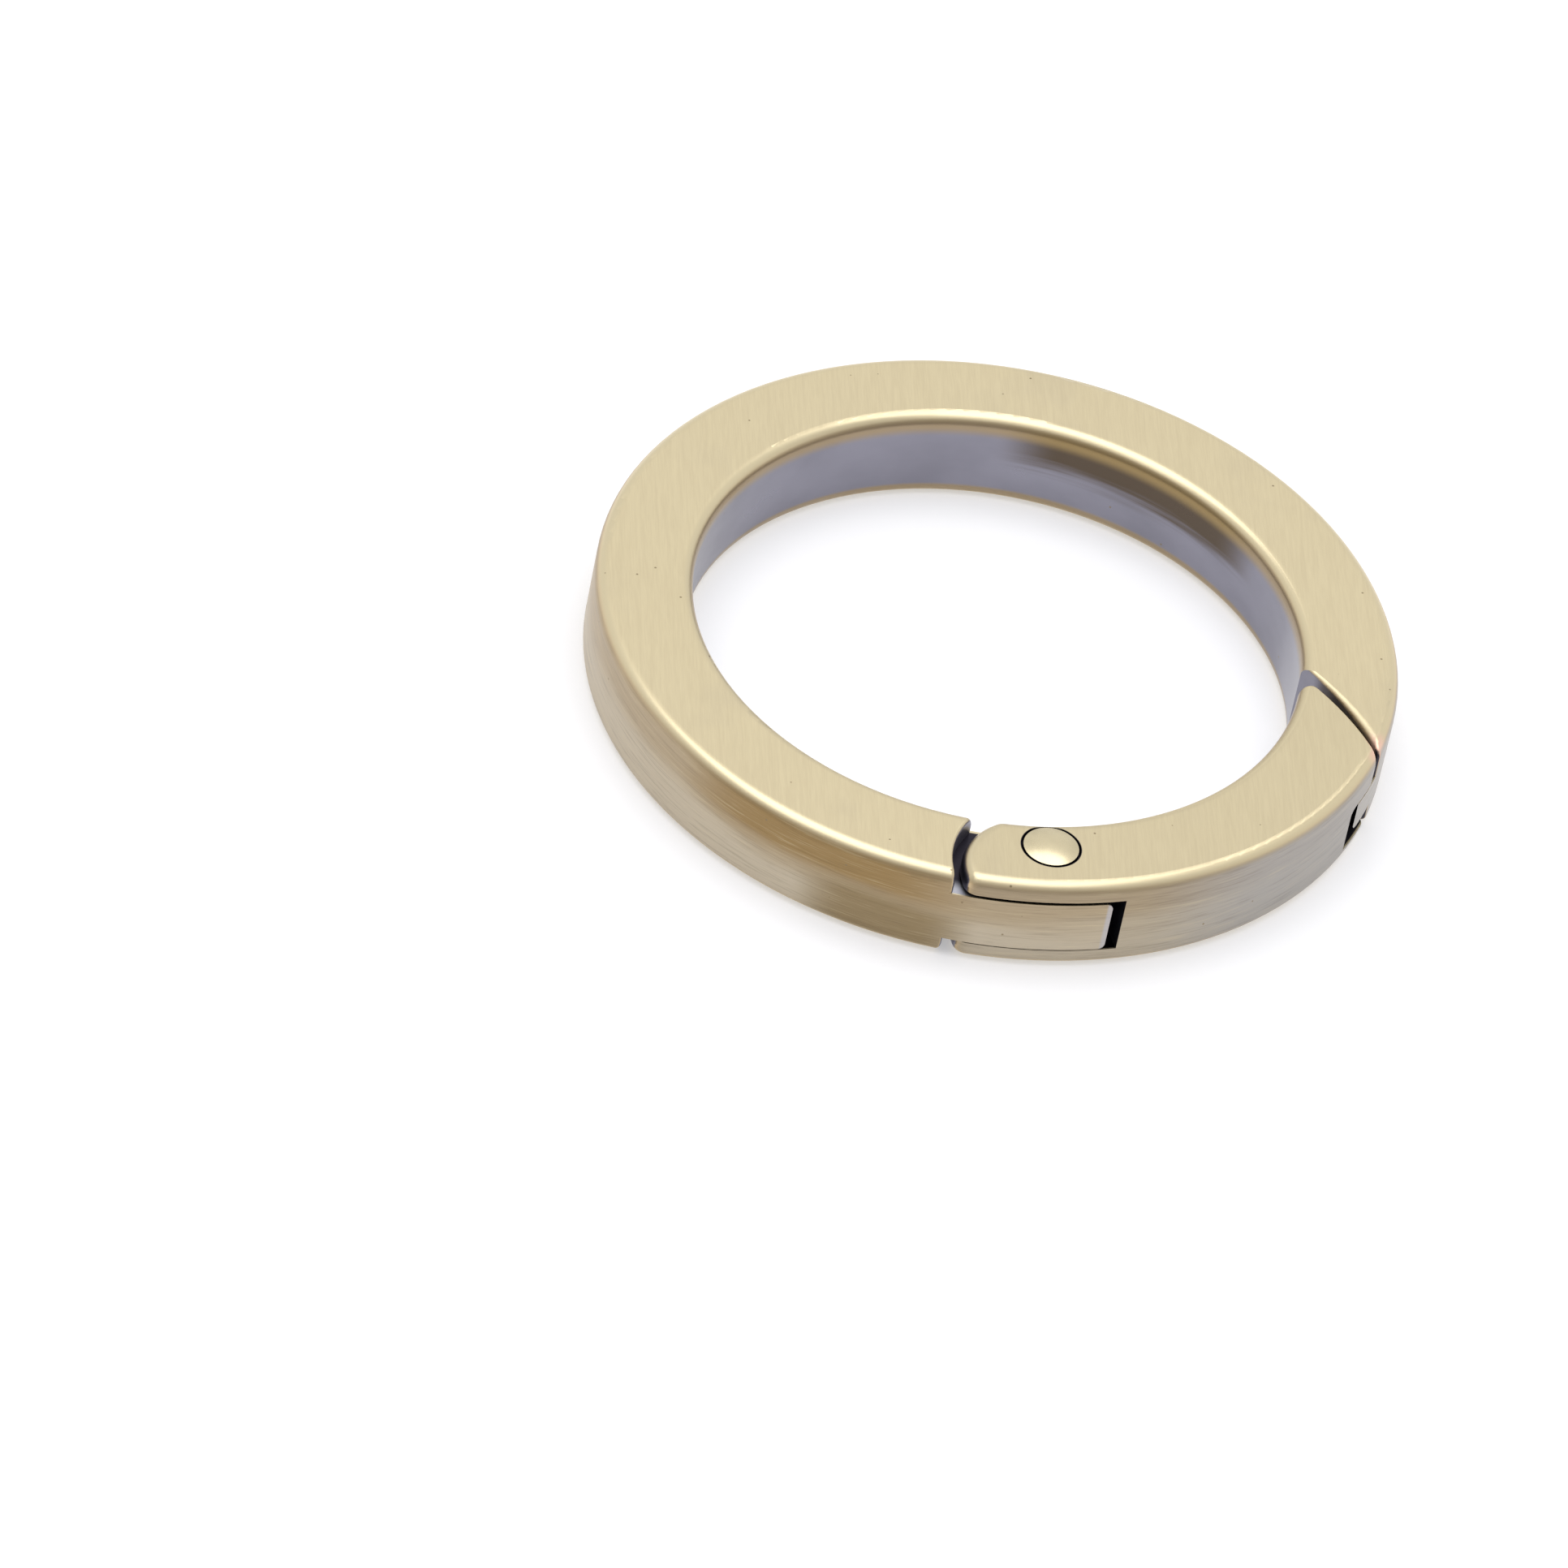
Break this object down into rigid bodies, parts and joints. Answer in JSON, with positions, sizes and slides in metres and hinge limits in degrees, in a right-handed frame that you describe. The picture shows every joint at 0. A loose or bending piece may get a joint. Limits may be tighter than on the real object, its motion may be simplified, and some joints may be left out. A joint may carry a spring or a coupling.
{
  "type": "spring gate ring",
  "caption": "Round spring-gate key ring: a flat-sided brass band with a hinged, sprung gate that opens inwards on a rivet.",
  "frame": {"origin": "centre of the ring on its bottom face", "axes": "+Z is the ring's axis, out of its top face with the domed rivet head; -Y is near the hinge; the gate closes the quarter between -Y and +X"},
  "size_m": [0.042, 0.042, 0.0056],
  "materials": {
    "brushed_brass": "finely brushed antique brass, satin, with grey-violet patina where it is not brushed",
    "polished_brass": "polished antique brass",
    "spring_steel": "drawn spring steel"
  },
  "bodies": {
    "ring_body": {"ring_body": "brushed_brass"},
    "gate": {"gate": "brushed_brass", "hinge_rivet": "polished_brass", "gate_spring": "spring_steel"},
    "plunger": {"plunger": "spring_steel"}
  },
  "joints": [
    {"name": "gate_hinge", "type": "hinge", "parent": "ring_body", "child": "gate", "pos_m": [0.00479, -0.01718, 0.00265], "axis": [0, 0, 1], "range_deg": [0, 28], "stiffness_Nm_per_rad": 0.007, "springref_deg": -76.2},
    {"name": "plunger_slide", "type": "slide", "parent": "gate", "child": "plunger", "axis": [0.9613, 0.2756, 0], "range_m": [0, 0.00044], "deforming": ["gate_spring"]}
  ],
  "couplings": [
    {"joint": "plunger_slide", "follows": "gate_hinge", "m_per_rad": 0.0009}
  ]
}
